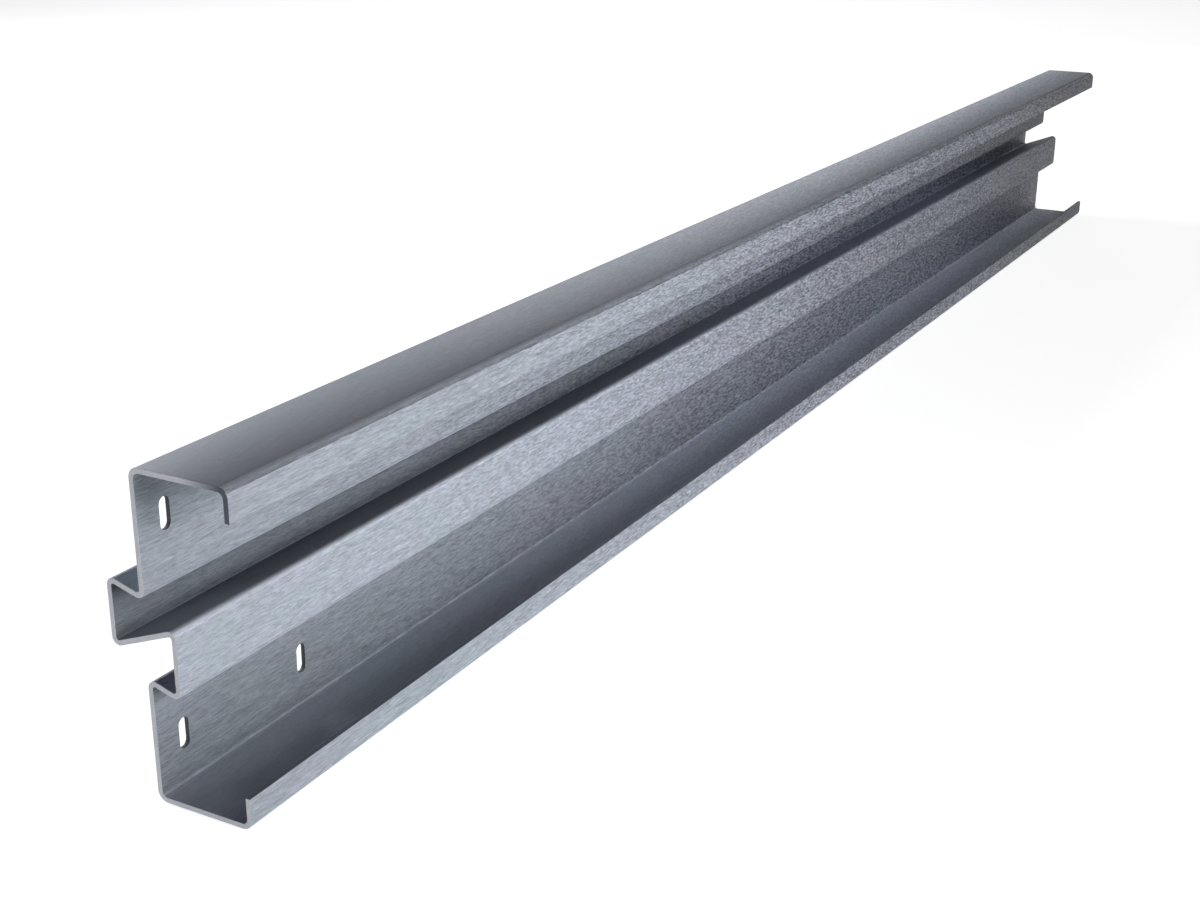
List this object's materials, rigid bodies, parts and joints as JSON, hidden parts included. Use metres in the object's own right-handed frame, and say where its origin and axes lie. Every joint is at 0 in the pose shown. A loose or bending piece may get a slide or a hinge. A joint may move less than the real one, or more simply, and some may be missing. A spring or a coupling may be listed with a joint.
{
  "type": "fence post",
  "caption": "Folded galvanised steel fence post: a lipped channel with two dovetail ribs along its web and upright fixing slots near one end.",
  "frame": {"origin": "middle of the post's length and of the section's whole depth, on the underside of the lower flange", "axes": "+X along the post from the slotted end to the plain end, +Y towards the back rib, -Y out of the open side, +Z from the lower flange to the upper flange"},
  "size_m": [0.82, 0.0406, 0.09],
  "materials": {
    "galvanised_steel": "galvanised, fine grain along the length"
  },
  "bodies": {
    "root": {"post": "galvanised_steel"}
  },
  "joints": []
}
